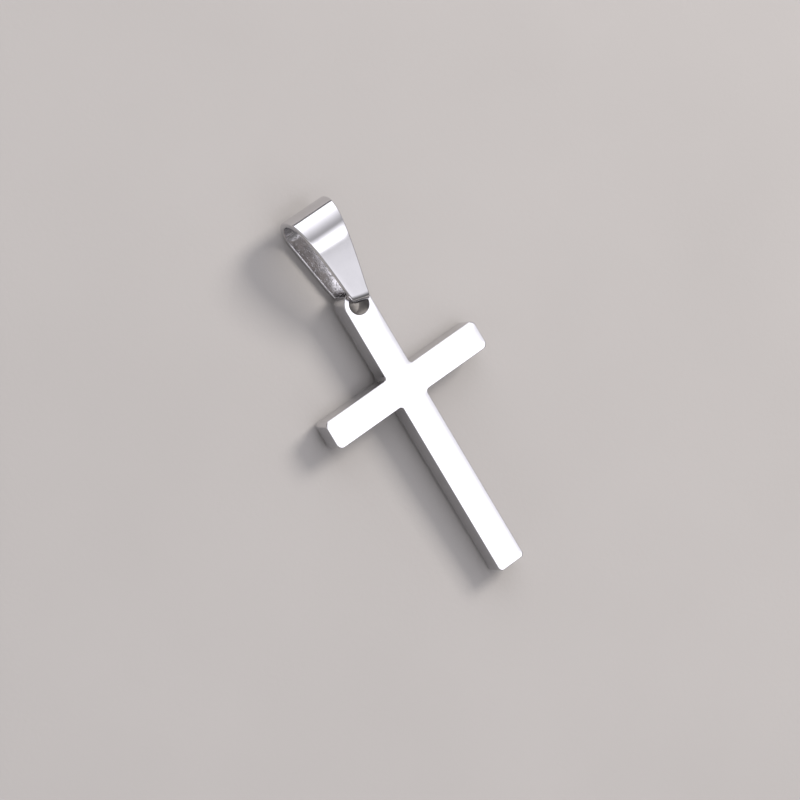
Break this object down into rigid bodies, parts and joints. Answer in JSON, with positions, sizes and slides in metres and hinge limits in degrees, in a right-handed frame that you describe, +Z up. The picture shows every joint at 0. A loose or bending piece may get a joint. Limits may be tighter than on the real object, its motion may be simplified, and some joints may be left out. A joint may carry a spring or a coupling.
{
  "type": "cross pendant",
  "caption": "Plain straight-armed cross of square-edged polished bar with a round eye at its head and a tapered folded bail swinging in the eye.",
  "frame": {"origin": "on the surface that the pendant lies on, under the middle of its overall box", "axes": "+Z up from the surface, +Y along the upright towards the bail, +X to the right when the pendant is seen from the front with its bail at the top"},
  "size_m": [0.0186, 0.04, 0.0057],
  "materials": {
    "polished_cross": "mirror-polished stainless steel",
    "polished_bail": "mirror-polished stainless steel strip, satin and finely pitted on the inside"
  },
  "bodies": {
    "cross": {"cross": "polished_cross"},
    "bail": {"bail": "polished_bail"}
  },
  "joints": [
    {"name": "bail_swing", "type": "hinge", "parent": "cross", "child": "bail", "pos_m": [0, 0.00999, 0.00197], "axis": [1, 0, 0], "range_deg": [-15, 5]}
  ]
}
